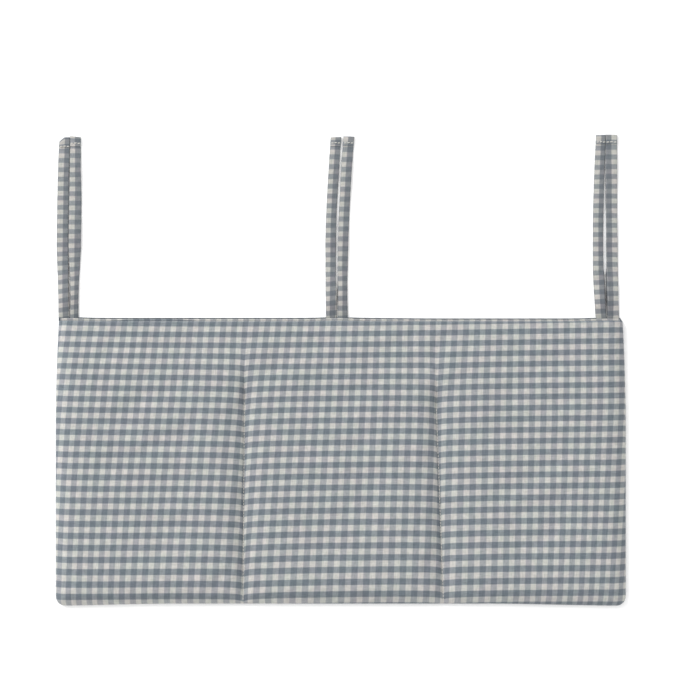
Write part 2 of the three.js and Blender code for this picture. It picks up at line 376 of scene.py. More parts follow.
def weave_rows(x, y):
    """Checks from the mouth, on the front: the rows bow up at its sides and dip at a divider."""
    across, down = x / half_panel, (mouth_y - y) / half_panel
    count = 26.99 * down - 0.79 - 0.88 * down ** 2 - 0.82 * down ** 3
    count += 0.25 * across + 0.06 * across * down - 0.09 * across ** 3
    count += across ** 2 * (0.23 - 0.26 * down)
    for (divider, start_y), dip in zip(dividers, row_dips):
        away = np.abs(x - divider(y))
        dipped = dip * np.exp(-away / row_dip_reach) + seam_dip * np.exp(-away / seam_pull_reach)
        count -= sewn_share(y, start_y) * dipped
    count -= 0.07 * sewn_share(y, right_start_y) * beyond(x - right_divider_x(y))
    return count


def plain_weave(x, y, column_phase=0.0, row_phase=0.0, lean=0.0):
    columns = (x + lean * y) / check_width + column_phase
    rows = (mouth_y - y + lean * x) / check_height + row_phase
    return columns, rows


def lining_weave(x, y):
    """The lining shows a cream row above the front's mouth, and a blue one in the left pocket."""
    columns, rows = plain_weave(x, y, column_phase=0.35, row_phase=-0.155)
    rows = rows + (back_mouth(x) - mouth_y) / check_height
    return columns, rows + 0.5 * bell(x - blue_row_x, blue_row_reach)


# Meshes

def mesh_object(name, points, faces, checks, material):
    """A mesh from points in millimetres, with the weave's checks as a UV map if it has any."""
    mesh = bpy.data.meshes.new(name)
    mesh.from_pydata((np.asarray(points) * METRES).tolist(), [], faces)
    if checks is not None:
        weave = mesh.uv_layers.new(name="weave")
        corner_points = np.empty(len(mesh.loops), dtype=np.int32)
        mesh.loops.foreach_get("vertex_index", corner_points)
        weave.data.foreach_set("uv", np.asarray(checks)[corner_points].ravel())
    mesh.polygons.foreach_set("use_smooth", [True] * len(mesh.polygons))
    mesh.materials.append(material)
    mesh.validate()
    mesh.update()
    piece = bpy.data.objects.new(name, mesh)
    bpy.context.scene.collection.objects.link(piece)
    return piece


def grid_faces(rows, columns, first=0, flip=False, wrap=False):
    faces = []
    for row in range(rows - 1):
        for column in range(columns if wrap else columns - 1):
            after = (column + 1) % columns
            corners = [first + row * columns + column, first + row * columns + after,
                       first + (row + 1) * columns + after, first + (row + 1) * columns + column]
            faces.append(corners[::-1] if flip else corners)
    return faces


def sheet_faces(rows, columns, faces_up=True):
    """A closed sheet of two grids: the shown face, the hidden one and the rim between them."""
    count = rows * columns
    faces = grid_faces(rows, columns, flip=not faces_up)
    faces += grid_faces(rows, columns, first=count, flip=faces_up)
    border = [*range(columns), *range(2 * columns - 1, count, columns),
              *range(count - 2, count - columns - 1, -1),
              *range(count - 2 * columns, 0, -columns)]
    for here, after in zip(border, border[1:] + border[:1]):
        rim = [here, here + count, after + count, after]
        faces.append(rim if faces_up else rim[::-1])
    return faces


def tube_faces(rings, sides, first=0):
    """A closed tube: each ring joined to the next, and a face over either end."""
    last = first + (rings - 1) * sides
    faces = grid_faces(rings, sides, first=first, wrap=True)
    faces.append([first + side for side in reversed(range(sides))])
    faces.append([last + side for side in range(sides)])
    return faces


def grid_normals(points):
    down, across = np.gradient(points, axis=(0, 1))
    normals = np.cross(across, down)
    return normals / np.linalg.norm(normals, axis=2, keepdims=True)


def run_along(line):
    """How far along a line of points each of them lies."""
    steps = np.linalg.norm(np.diff(line, axis=0), axis=1)
    return np.concatenate([[0], np.cumsum(steps)])


def panel_piece(piece, node):
    """Puts a piece that rides on the panel in its solid's place."""
    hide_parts(node)
    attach(piece, "panel")
    return piece


def cloth_layer(name, x, y, face, thickness, weave, material, faces_up=True):
    """A closed sheet of cloth on a grid: its shown face, and the other one behind it."""
    shown = np.stack([x, y, face], axis=2)
    hidden = shown - grid_normals(shown) * (thickness if faces_up else -thickness)
    points = np.concatenate([shown.reshape(-1, 3), hidden.reshape(-1, 3)])
    checks = np.stack(weave, axis=2).reshape(-1, 2)
    return mesh_object(name, points, sheet_faces(*x.shape, faces_up),
                       np.concatenate([checks, checks]), material)


# Materials

specular_level = 0.2
sheen_roughness = 0.6


class Nodes:
    """Short calls for the few kinds of node that the materials use."""

    def __init__(self, tree):
        self.tree = tree

    def add(self, kind, **settings):
        node = self.tree.nodes.new(kind)
        for key, value in settings.items():
            setattr(node, key, value)
        return node

    def link(self, source, target):
        if hasattr(source, "is_output"):
            self.tree.links.new(source, target)
        else:
            target.default_value = source

    def maths(self, operation, *values):
        node = self.add("ShaderNodeMath", operation=operation)
        for value, socket in zip(values, node.inputs):
            self.link(value, socket)
        return node.outputs[0]

    def ramp(self, value, low, high, start=0.0, end=1.0):
        node = self.add("ShaderNodeMapRange", interpolation_type="SMOOTHSTEP")
        for source, socket in zip((value, low, high, start, end), node.inputs):
            self.link(source, socket)
        return node.outputs[0]

    def mix(self, share, first, second, blend="MIX"):
        node = self.add("ShaderNodeMix", data_type="RGBA", blend_type=blend)
        self.link(share, node.inputs["Factor"])
        self.link(first, node.inputs[6])
        self.link(second, node.inputs[7])
        return node.outputs[2]

    def noise(self, place, scale, detail):
        node = self.add("ShaderNodeTexNoise", noise_dimensions="3D")
        self.link(place, node.inputs["Vector"])
        node.inputs["Scale"].default_value = scale
        node.inputs["Detail"].default_value = detail
        return node.outputs["Fac"]

    def vector(self, x, y, z=0.0):
        node = self.add("ShaderNodeCombineXYZ")
        for value, socket in zip((x, y, z), node.inputs):
            self.link(value, socket)
        return node.outputs[0]

    def bump(self, height, strength, distance, normal=None):
        node = self.add("ShaderNodeBump")
        node.inputs["Strength"].default_value = strength
        node.inputs["Distance"].default_value = distance * METRES
        self.link(height, node.inputs["Height"])
        if normal is not None:
            self.link(normal, node.inputs["Normal"])
        return node.outputs[0]


def new_material(name, roughness, sheen=0.0):
    material = bpy.data.materials.new(name)
    material.use_nodes = True
    shader = material.node_tree.nodes["Principled BSDF"]
    shader.inputs["Roughness"].default_value = roughness
    shader.inputs["Specular IOR Level"].default_value = specular_level
    shader.inputs["Sheen Weight"].default_value = sheen
    shader.inputs["Sheen Roughness"].default_value = sheen_roughness
    return material, Nodes(material.node_tree), shader


# The four tones of a gingham check: both threads cream, blue warp, blue weft, both blue
panel_tones = ((0.412, 0.407, 0.382, 1), (0.252, 0.260, 0.269, 1),
               (0.179, 0.199, 0.212, 1), (0.107, 0.127, 0.147, 1))
tape_tones = ((0.368, 0.360, 0.336, 1), (0.163, 0.169, 0.178, 1),
              (0.190, 0.202, 0.212, 1), (0.104, 0.117, 0.131, 1))
threads_per_check = 26
thick_threads_per_check = 9
thick_thread_strength = 0.06
thread_spread = 7.31
thread_run = 1.6
stripe_start, stripe_end = 0.05, 0.52
band_start, band_end = -0.1, 0.385
stripe_blur = 0.045
drift_tints = ((0.985, 1.012, 1.0, 1), (1.02, 0.992, 1.008, 1))
drift_scale = 0.55
dye_tints = ((0.988, 1.01, 1.0, 1), (1.014, 0.992, 1.004, 1))
slub_scale = 14
weave_relief = 0.08
slub_relief = 0.4
relief_strength = 0.25


def stripe(nodes, place, start, end):
    """1 in the cream stripe of each check and 0 in the blue one."""
    offset = nodes.maths("FRACT", nodes.maths("SUBTRACT", place, start - stripe_blur))
    rise = nodes.ramp(offset, 0, 2 * stripe_blur)
    fall = nodes.ramp(offset, end - start, end - start + 2 * stripe_blur, 1.0, 0.0)
    return nodes.maths("MULTIPLY", rise, fall)


def thread_tone(nodes, across, along, threads):
    """Brightness that changes from thread to thread, and slowly along each."""
    thread = nodes.maths("FLOOR", nodes.maths("MULTIPLY", across, threads))
    place = nodes.vector(nodes.maths("MULTIPLY", thread, thread_spread),
                         nodes.maths("MULTIPLY", along, thread_run))
    return nodes.ramp(nodes.noise(place, 1.0, 1.0), 0.25, 0.75, -1.0, 1.0)


def gingham_material(name, tones=panel_tones, tone_strength=0.05, sheen=0.12):
    both_cream, blue_warp, blue_weft, both_blue = tones
    material, nodes, shader = new_material(name, roughness=0.88, sheen=sheen)
    weave = nodes.add("ShaderNodeUVMap", uv_map="weave").outputs[0]
    parts = nodes.add("ShaderNodeSeparateXYZ")
    nodes.link(weave, parts.inputs[0])
    columns, rows = parts.outputs[0], parts.outputs[1]

    warp_cream = stripe(nodes, columns, stripe_start, stripe_end)
    weft_cream = stripe(nodes, rows, band_start, band_end)
    cream_rows = nodes.mix(warp_cream, blue_warp, both_cream)
    blue_rows = nodes.mix(warp_cream, both_blue, blue_weft)
    checks = nodes.mix(weft_cream, blue_rows, cream_rows)

    # Uneven threads, thick ones among them, and slow drifts of tint over the cloth
    tone = nodes.maths("ADD", thread_tone(nodes, columns, rows, threads_per_check),
                       thread_tone(nodes, rows, columns, threads_per_check))
    warp_slubs = thread_tone(nodes, columns, rows, thick_threads_per_check)
    weft_slubs = thread_tone(nodes, rows, columns, thick_threads_per_check)
    thick = nodes.maths("MULTIPLY", nodes.maths("ADD", warp_slubs, weft_slubs),
                        thick_thread_strength)
    brightness = nodes.maths("ADD", nodes.maths("MULTIPLY_ADD", tone, tone_strength, 1.0), thick)
    toned = nodes.mix(1.0, checks, nodes.vector(brightness, brightness, brightness), "MULTIPLY")
    drift = nodes.ramp(nodes.noise(weave, drift_scale, 2.0), 0.35, 0.65)
    tinted = nodes.mix(1.0, toned, nodes.mix(drift, *drift_tints), "MULTIPLY")
    dyed = nodes.mix(nodes.maths("MULTIPLY_ADD", warp_slubs, 0.5, 0.5), *dye_tints)
    nodes.link(nodes.mix(1.0, tinted, dyed, "MULTIPLY"), shader.inputs["Base Color"])

    # The plain weave's relief: threads that pass over and under in turn, with slubs
    turn = math.pi * threads_per_check
    over = nodes.maths("SINE", nodes.maths("MULTIPLY", columns, turn))
    under = nodes.maths("SINE", nodes.maths("MULTIPLY", rows, turn))
    threads = nodes.maths("MULTIPLY", over, under)
    slubs = nodes.noise(weave, slub_scale, 3.0)
    relief = nodes.bump(threads, relief_strength, weave_relief)
    nodes.link(nodes.bump(slubs, relief_strength, slub_relief, relief), shader.inputs["Normal"])
    return material


thread_twist_scale = 900
thread_twist_distortion = 1.5
thread_shade = 0.72
thread_relief = 0.1


def thread_material(name, colour):
    material, nodes, shader = new_material(name, roughness=0.7, sheen=0.2)
    place = nodes.add("ShaderNodeTexCoord").outputs["Object"]
    wave = nodes.add("ShaderNodeTexWave", wave_type="BANDS", bands_direction="DIAGONAL")
    nodes.link(place, wave.inputs["Vector"])
    wave.inputs["Scale"].default_value = thread_twist_scale
    wave.inputs["Distortion"].default_value = thread_twist_distortion
    dark = tuple(channel * thread_shade for channel in colour[:3]) + (1,)
    nodes.link(nodes.mix(wave.outputs["Fac"], dark, colour), shader.inputs["Base Color"])
    nodes.link(nodes.bump(wave.outputs["Fac"], 0.5, thread_relief), shader.inputs["Normal"])
    return material


fluff_scale, fibre_scale = 260, 1400
fluff_relief, fibre_relief = 0.8, 0.2
wadding_tones = ((0.74, 0.73, 0.70, 1), (0.88, 0.875, 0.85, 1))


def wadding_material(name):
    material, nodes, shader = new_material(name, roughness=0.95, sheen=0.3)
    place = nodes.add("ShaderNodeTexCoord").outputs["Object"]
    fluff = nodes.noise(place, fluff_scale, 6.0)
    fibres = nodes.noise(place, fibre_scale, 3.0)
    colour = nodes.mix(nodes.ramp(fluff, 0.3, 0.7), *wadding_tones)
    nodes.link(colour, shader.inputs["Base Color"])
    lofty = nodes.bump(fluff, 0.6, fluff_relief)
    nodes.link(nodes.bump(fibres, 0.4, fibre_relief, lofty), shader.inputs["Normal"])
    return material


floor_grain_scale = 40
floor_tones = ((0.945, 0.945, 0.945, 1), (0.955, 0.955, 0.955, 1))


def floor_material(name):
    material, nodes, shader = new_material(name, roughness=0.9)
    place = nodes.add("ShaderNodeTexCoord").outputs["Object"]
    grain = nodes.noise(place, floor_grain_scale, 3.0)
    nodes.link(nodes.mix(grain, *floor_tones), shader.inputs["Base Color"])
    return material


# Camera, floor and light

camera_height = 2307
frame_width = 735.56
frame_centre = (9.72, 118.1)
frame_plane = 7
sensor_width = 36
floor_size = 12000
floor_drop = 0.15
sky_strength = 1.09
key_direction = np.array((-1.24, 1.2, 1.0))
key_distance = 5500
key_size = 3040
key_power = 248


def make_camera():
    data = bpy.data.cameras.new("camera")
    data.sensor_width = sensor_width
    data.lens = sensor_width * (camera_height - frame_plane) / frame_width
    data.clip_end = 100
    camera = bpy.data.objects.new("camera", data)
    camera.location = [value * METRES for value in (*frame_centre, camera_height)]
    bpy.context.scene.collection.objects.link(camera)
    bpy.context.scene.camera = camera


def make_floor():
    half = floor_size / 2
    corners = [(-half, -half, -floor_drop), (half, -half, -floor_drop),
               (half, half, -floor_drop), (-half, half, -floor_drop)]
    floor = mesh_object("floor", corners, [(0, 1, 2, 3)], None, floor_material("floor_paper"))


def make_light():
    softbox = bpy.data.lights.new("key_light", "AREA")
    softbox.shape = "DISK"
    softbox.size = key_size * METRES
    softbox.energy = key_power
    key = bpy.data.objects.new("key_light", softbox)
    x, y, z = key_direction / np.linalg.norm(key_direction)
    key.location = [value * key_distance * METRES for value in (x, y, z)]
    key.rotation_euler = (0, math.atan2(math.hypot(x, y), z), math.atan2(y, x))
    key.visible_camera = False
    bpy.context.scene.collection.objects.link(key)
    world = bpy.data.worlds.new("studio")
    world.use_nodes = True
    background = world.node_tree.nodes["Background"]
    background.inputs["Color"].default_value = (1, 1, 1, 1)
    background.inputs["Strength"].default_value = sky_strength
    bpy.context.scene.world = world
    bpy.context.scene.view_settings.view_transform = "Standard"


make_camera()
make_floor()
make_light()

gingham = gingham_material("gingham_cotton")
lining_gingham = gingham_material("gingham_lining", tone_strength=0.045, sheen=0.1)
tape_gingham = gingham_material("gingham_tape", tones=tape_tones, tone_strength=0.06)
cream_thread = thread_material("cream_thread", (0.60, 0.585, 0.54, 1))
wadding = wadding_material("wadding")


# The panel's cloths

outer_spacing = 3
lining_spacing = 5
wadding_spacing = 4
thinnest_wadding = 0.15
wadding_clearance = 1
pucker_height = 0.3
pucker_length = 6.4
pucker_reach = 6
pucker_start = 2
pucker_fade = 4
pucker_offset = 1.9


def tucks(x, y):
    """Small tucks that the stitches draw in along the sewn dividers."""
    height = 0
    for divider, start_y in dividers:
        sewn = 1 - smooth(y, start_y - pucker_fade, start_y + pucker_fade)
        away = np.abs(x - divider(y))
        phase = 2 * math.pi * y / pucker_length + np.where(x > divider(y), pucker_offset, 0)
        ripple = np.sin(phase) * np.exp(-away / pucker_reach)
        height = height + pucker_height * sewn * ripple * smooth(away, 0, pucker_start)
    return height


# The padded front's unevenness: a cloth simulation of it, held where it is sewn or folded

swell_spacing = 4
swell_frames = 20
swell_growth = 0.02
swell_jitter = 0.12
swell_cap = 0.8
swell_seed = 11
held_edge = 7
held_mouth_share = 0.9
held_seam = 4.5
held_above_seam = 3
held_gain = 1.15


def held_share(x, y):
    """1 where stitches or a folded edge hold the front, 0 where it is free."""
    held = np.maximum(bell(edge_distance(x, y), held_edge),
                      held_mouth_share * bell(front_mouth_y - y, held_edge))
    for divider, start_y in dividers:
        sewn = y < start_y + held_above_seam
        held = np.maximum(held, bell(x - divider(y), held_seam) * sewn)
    return np.clip(held_gain * held, 0, 1)


def simulated_swell():
    """How far the front rises or sinks at each point of a plain grid, with the grid's places."""
    columns = np.linspace(-half_panel, half_panel, round(2 * half_panel / swell_spacing) + 1)
    rows = np.linspace(foot_y, front_mouth_y, round((front_mouth_y - foot_y) / swell_spacing) + 1)
    x, y = np.meshgrid(columns, rows)
    held = held_share(x, y)
    flat = layer_heights(x, y)["front_outer"]
    jitter = np.random.default_rng(swell_seed).normal(0, swell_jitter, x.shape) * (1 - held)
    points = np.stack([x, y, flat + jitter], axis=2).reshape(-1, 3)
    sheet = mesh_object("front_swell", points, grid_faces(*x.shape), None, gingham)
    pins = sheet.vertex_groups.new(name="held")
    for index, weight in enumerate(held.ravel()):
        pins.add([index], float(weight), "REPLACE")
    cloth = sheet.modifiers.new("cloth", "CLOTH")
    cloth.settings.quality = 6
    cloth.settings.vertex_group_mass = "held"
    cloth.settings.shrink_min = -swell_growth
    cloth.settings.effector_weights.gravity = 0
    cloth.collision_settings.use_collision = False
    cloth.point_cache.frame_end = swell_frames
    for step in range(1, swell_frames + 1):
        bpy.context.scene.frame_set(step)
    swollen = sheet.evaluated_get(bpy.context.evaluated_depsgraph_get()).to_mesh()
    places = np.empty(len(swollen.vertices) * 3)
    swollen.vertices.foreach_get("co", places)
    bpy.context.scene.frame_set(1)
    bpy.data.objects.remove(sheet)
    rise = places.reshape(*x.shape, 3)[:, :, 2] / METRES - flat
    return columns, rows, swell_cap * np.tanh(rise / swell_cap) * (1 - held)


def sampled(field, x, y):
    """A field of heights on a plain grid, at any places, by straight lines between its points."""
    columns, rows, values = field
    column = (x - columns[0]) / (columns[1] - columns[0])
    row = (y - rows[0]) / (rows[1] - rows[0])
    column = np.clip(column, 0, len(columns) - 1.001)
    row = np.clip(row, 0, len(rows) - 1.001)
    left, low = column.astype(int), row.astype(int)
    across, up = column - left, row - low
    below = lerp(values[low, left], values[low, left + 1], across)
    above = lerp(values[low + 1, left], values[low + 1, left + 1], across)
    return lerp(below, above, up)


def front_cloth():
    x, y = cloth_grid(front_mouth, front_mouth_y, front_mouth_blend, outer_spacing)
    heights = layer_heights(x, y)
    flat = heights["front_outer"] + tucks(x, y) + sampled(front_swell, x, y)
    face = lerp(rim_height, flat, roundness(edge_distance(x, y), rim_radius))
    edge = (heights["front_lining_low"] + heights["front_outer"]) / 2 + front_edge_gap / 2
    face = lerp(np.minimum(edge, face), face, roundness(front_mouth(x) - y, fold_radius))
    drop = rim_checks * (flat - face) / check_width
    weave = (weave_columns(x, y) + np.sign(x) * drop, weave_rows(x, y) - drop * (y > 0))
    piece = cloth_layer("front_gingham", x, y, face, outer_cloth, weave, gingham)
    return panel_piece(piece, "front_outer_cloth")


def back_cloth():
    x, y = cloth_grid(back_mouth, mouth_y, back_mouth_blend, outer_spacing)
    flat = layer_heights(x, y)["back_outer"]
    face = lerp(back_rim_height, flat, roundness(edge_distance(x, y), rim_radius))
    edge = lerp(*back_edge_heights, tie_opening(x))
    face = lerp(np.maximum(edge, face), face, roundness(back_mouth(x) - y, fold_radius))
    weave = plain_weave(-x, y, column_phase=0.1, row_phase=0.6, lean=0.004)
    piece = cloth_layer("back_gingham", x, y, face, outer_cloth, weave, gingham, faces_up=False)
    return panel_piece(piece, "back_outer_cloth")


def back_lining_cloth():
    x, y = cloth_grid(back_lining_mouth, mouth_y, back_mouth_blend, lining_spacing, lining_inset)
    flat = layer_heights(x, y)["back_lining_high"]
    edge = lerp(*lining_edge_heights, tie_opening(x))
    face = lerp(edge, flat, roundness(back_lining_mouth(x) - y, fold_radius))
    piece = cloth_layer("back_lining_gingham", x, y, face, lining, lining_weave(x, y),
                        lining_gingham)
    return panel_piece(piece, "back_lining")


def front_lining_cloth():
    x, y = cloth_grid(front_mouth, front_mouth_y, front_mouth_blend, lining_spacing, lining_inset)
    heights = layer_heights(x, y)
    flat = heights["front_lining_low"]
    edge = (heights["front_lining_low"] + heights["front_outer"]) / 2 - front_edge_gap / 2
    face = lerp(edge, flat, roundness(front_mouth(x) - y, fold_radius))
    weave = plain_weave(x, y, column_phase=0.6, row_phase=0.5)
    piece = cloth_layer("front_lining_gingham", x, y, face, lining, weave, lining_gingham,
                        faces_up=False)
    return panel_piece(piece, "front_lining")


def wadding_layer(name, low_face, high_face, top_inset, node, risen=None):
    """A closed bat of wadding between two cloths, thinned where it is sewn through."""
    inset = seam_allowance + wadding_clearance
    x, y = panel_grid(mouth_y - top_inset, wadding_spacing, inset)
    heights = layer_heights(x, y)
    bottom = heights[low_face] + layer_gap
    top = heights[high_face] - layer_gap
    if risen is not None:
        top += sampled(risen, x, y)
    top = np.maximum(top, bottom + thinnest_wadding)
    points = np.concatenate([np.stack([x, y, height], axis=2).reshape(-1, 3)
                             for height in (top, bottom)])
    piece = mesh_object(name, points, sheet_faces(*x.shape), None, wadding)
    panel_piece(piece, node)
    return piece


# Stitches

stitch_length = 2.7
stitch_pitch = 3.2
stitch_radius = 0.36
stitch_lift = 0.1
stitch_sides = 8
stitches_above_foot = 4
hem_stitch_count = 3
hem_stitch_length = 2.9
hem_stitch_pitch = 3.6
hem_stitch_margin = 1.2
hem_stitch_waver = 0.25
hem_stitch_radius = 0.48
hem_stitch_lift = 0.15
seam_stitch_radius = 0.2
edge_seam_inset = 2
edge_seam_top = mouth_y - 3
side_seam_steps, corner_seam_steps, long_seam_steps = 80, 12, 160
mouth_seam_reach = 288.5
back_seam_y = mouth_y - 2.75
front_seam_y = mouth_y - 5.55

# Along a stitch: the share of its length, and its rise and thickness in radii of its thread
stitch_profile = ((0, -0.9, 0.7), (0.08, 0.1, 1), (0.3, 0.7, 1), (0.5, 0.85, 1), (0.7, 0.7, 1),
                  (0.92, 0.1, 1), (1, -0.9, 0.7))


def stitch_shape(start, end, up, lift, radius):
    """One stitch: a short thread that comes up out of the cloth, lies on it and goes down."""
    start, end, up = np.array(start), np.array(end), np.array(up)
    along = (end - start) / np.linalg.norm(end - start)
    side = np.cross(up, along)
    rings = []
    for share, rise, size in stitch_profile:
        centre = start + (end - start) * share + up * (lift + rise * radius)
        for turn in range(stitch_sides):
            angle = 2 * math.pi * turn / stitch_sides
            rings.append(centre + radius * size * (side * math.cos(angle) + up * math.sin(angle)))
    return rings


def stitch_row(name, spans, up, lift, body, node, radius=stitch_radius):
    """A row of stitches, each between two points."""
    points, faces = [], []
    for start, end in spans:
        faces += tube_faces(len(stitch_profile), stitch_sides, first=len(points))
        points += stitch_shape(start, end, up, lift, radius)
    piece = mesh_object(name, points, faces, None, cream_thread)
    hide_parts(node)
    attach(piece, body)


def divider_stitches(name, divider, start_y, face, above, node):
    """Stitches down a divider, from its top to just over the foot."""
    spans = []
    count = int((start_y - foot_y - stitches_above_foot) // stitch_pitch)
    for step in range(count):
        top = start_y - step * stitch_pitch
        ends = []
        for y in (top, top - stitch_length):
            x = float(divider(y))
            ends.append((x, y, float(layer_heights(x, y)[face])))
        spans.append(ends)
    up = (0, 0, 1 if above else -1)
    stitch_row(name, spans, up, stitch_lift, "panel", node)


def seam_stitches(name, x, y, low_face, high_face, node):
    """Stitches hidden between two cloths, along a line of places."""
    heights = layer_heights(x, y)
    line = np.stack([x, y, (heights[low_face] + heights[high_face]) / 2], axis=1)
    run = run_along(line)
    spans = []
    for step in range(int(run[-1] // stitch_pitch)):
        spans.append([[float(np.interp(step * stitch_pitch + part, run, line[:, axis]))
                       for axis in range(3)] for part in (0, stitch_length)])
    stitch_row(name, spans, (0, 0, 1), 0, "panel", node, seam_stitch_radius)


def edge_line():
    """Places along the seam, down the left side, along the foot and up the right side."""
    inner = corner_radius - edge_seam_inset
    y = np.linspace(edge_seam_top, foot_y + corner_radius, side_seam_steps)
    sides = half_width(y) - edge_seam_inset
    turn = np.linspace(0, math.pi / 2, corner_seam_steps)
    corner_x = half_panel - corner_radius + inner * np.cos(turn)
    corner_y = foot_y + corner_radius - inner * np.sin(turn)
    foot_x = np.linspace(-corner_x[-1], corner_x[-1], long_seam_steps)[1:-1]
    foot_line = np.full(foot_x.shape, corner_y[-1])
    x = np.concatenate([-sides, -corner_x[1:], foot_x, corner_x[:0:-1], sides[::-1]])
    y = np.concatenate([y, corner_y[1:], foot_line, corner_y[:0:-1], y[::-1]])
    return x, y + foot_lift(x, y)


# Ties

tape_steps = 96
tape_fullness = 1.6
fullness_reach = 12
tape_loft = 0.2
tape_check_width = 1.02
wave_height = 0.5
wave_length = 71
wave_fade = 30
tail_start = -2.6
root_reach = 20
root_steps = 16
tail_round = 0.55
thinnest_tip = 0.12
tape_underside = 0.05
slit_clearance = 0.05
upper_points, under_points = 9, 7
side_angles = (0.7, 1.57, 2.44)
tie_fold_steps = 9
fold_end_gap = 2.5
fold_start = 0.1
fold_round = 1
thinnest_fold = 0.2
fold_pitch = 10.1

# Where a hem's rows lie, from where it is folded: they are closer at the fold and at the tip
hem_steps = (0.15, 0.4, 0.8, 1.6, 2.6, 4, 5.5, 7, 8.3, 9.1, 9.6, 9.85, 10)
hem_rise = 0.5
hem_checks_start = 0.3

# From where to where along a tail, in millimetres from its root, something changes
twist_change = (6, 23)
width_change = (20, 85)
tip_width_change = (120, 165)
wave_change = (0, 40)

# How far up a tie its tails come to lie flat, how far their undersides spread below the slit,
# and from where to where that fades
rise_length = {"left": 96, "centre": 60, "right": 74}
underside_spread = {"left": 0.5, "centre": 0.7, "right": 1.4}
spread_change = {"left": (50, 70), "centre": (24, 42), "right": (44, 56)}

# A tail's small wavers: how large each is, and over what length it turns by a radian
width_waver = (0.1, 9)
width_ripple = (0.08, 3.7)
side_waver = (0.1, 17)
turn_waver = (0.02, 23)
loft_waver = (0.5, 5)
waver_spread = 40

# Each tail's own shape, in millimetres and degrees: it starts beside its root, its tip leans and
# its middle bows, nearer to one end by bow_skew. Its widths are at root, middle and tip, and its
# twist raises the edge beside its twin. A check is a pitch long; phase and first_check say where
# the checks start along and across the tape, root_shift and skew how they lie near its root.
# Its hem is stitched at stitches, and its tip is cut aslant by slant, over slant_width
tails = {
    ("left", "left"): dict(
        start=-0.8, lean=1.2, bow=-1.5, bow_skew=1.1, widths=(11.3, 12.2, 11.8), longer=0,
        twist=14, pitch=9.88, phase=0.49, first_check=0.063, root_shift=0.12, skew=0.16,
        stitches=181, slant=4.6, slant_width=5.5),
    ("left", "right"): dict(
        start=-1.4, lean=1.3, bow=0.6, bow_skew=1, widths=(8.8, 13.3, 11.8), longer=0,
        twist=-14, pitch=10.0, phase=0.79, first_check=0.103, root_shift=0.04, skew=0.16,
        stitches=184.3, slant=-1.2, slant_width=12),
    ("centre", "left"): dict(
        start=-0.8, lean=5.0, bow=-1.5, bow_skew=1, widths=(11, 11.1, 11.2), longer=0.3,
        twist=15, pitch=10.32, phase=0.135, first_check=0.128, root_shift=0.1, skew=0.12,
        stitches=184.6, slant=0.4, slant_width=12),
    ("centre", "right"): dict(
        start=-0.15, lean=6.4, bow=-0.8, bow_skew=1, widths=(10.2, 11.2, 11.6), longer=0.6,
        twist=-12, pitch=10.46, phase=0.654, first_check=0.152, root_shift=0, skew=0.04,
        stitches=184.6, slant=-0.4, slant_width=12),
    ("right", "left"): dict(
        start=-0.6, lean=-0.5, bow=-3.5, bow_skew=0.8, widths=(11.2, 11, 10.7), longer=2.5,
        twist=17, pitch=10.12, phase=0.371, first_check=0.079, root_shift=0, skew=0.05,
        stitches=185.6, slant=0.3, slant_width=12),
    ("right", "right"): dict(
        start=0.5, lean=-2.2, bow=-1.2, bow_skew=1, widths=(11.9, 12.2, 12.6), longer=2.5,
        twist=-15, pitch=10.3, phase=0.16, first_check=0.609, root_shift=0, skew=0.05,
        stitches=185.6, slant=-0.3, slant_width=12),
}


def tape_section(half, thick):
    """Points round the section of a flat tape with round sides."""
    radius = thick / 2
    flat = half - radius
    upper = [(x, radius) for x in np.linspace(-flat, flat, upper_points)]
    right = [(flat + radius * math.sin(a), radius * math.cos(a)) for a in side_angles]
    under = [(x, -radius) for x in np.linspace(flat, -flat, under_points)]
    left = [(-x, -z) for x, z in right]
    return np.array(upper + right + under + left)


def waver(kind, s, start=0.0):
    size, reach = kind
    return size * math.sin(s / reach + start)


def tail_wander(tie, side):
    """Where in its wavers a tail starts, so that no two tails are alike."""
    return tails[tie, side]["phase"] * waver_spread


def tail_root(tie, side):
    away = (tie_root_width + tie_spacing) / 2
    beside = tie_centres[tie] + (-away if side == "left" else away)
    return beside + tails[tie, side]["start"]


def tail_centre(tie, side, s):
    """X of a tail's middle line at a length from its root."""
    tail = tails[tie, side]
    share = float(np.clip(s / tie_length, 0, 1))
    bowed = math.sin(math.pi * share ** tail["bow_skew"])
    return tail_root(tie, side) + tail["lean"] * share ** 2 + tail["bow"] * bowed


def tail_shape(tie, side, s):
    """A tail at a length from its root: its middle, its width and the angle it is turned by."""
    tail, wander = tails[tie, side], tail_wander(tie, side)
    root_width, full_width, tip_width = tail["widths"]
    width = lerp(root_width, full_width, smooth(s, *width_change))
    width += (tip_width - full_width) * smooth(s, *tip_width_change)
    width += waver(width_waver, s, wander) + waver(width_ripple, s)
    turned = smooth(s, *twist_change) * (1 - smooth(s, 0, rise_length[tie]))
    angle = math.radians(tail["twist"]) * turned + waver(turn_waver, s, wander)
    return tail_centre(tie, side, s) + waver(side_waver, s, wander), width, angle


def slit_x(tie, s):
    """The middle of the slit between the two tails of a tie, which neither tail crosses."""
    left_x, left_width, left_angle = tail_shape(tie, "left", s)
    right_x, right_width, right_angle = tail_shape(tie, "right", s)
    left_edge = left_x + left_width / 2 * math.cos(left_angle)
    right_edge = right_x - right_width / 2 * math.cos(right_angle)
    return (left_edge + right_edge) / 2


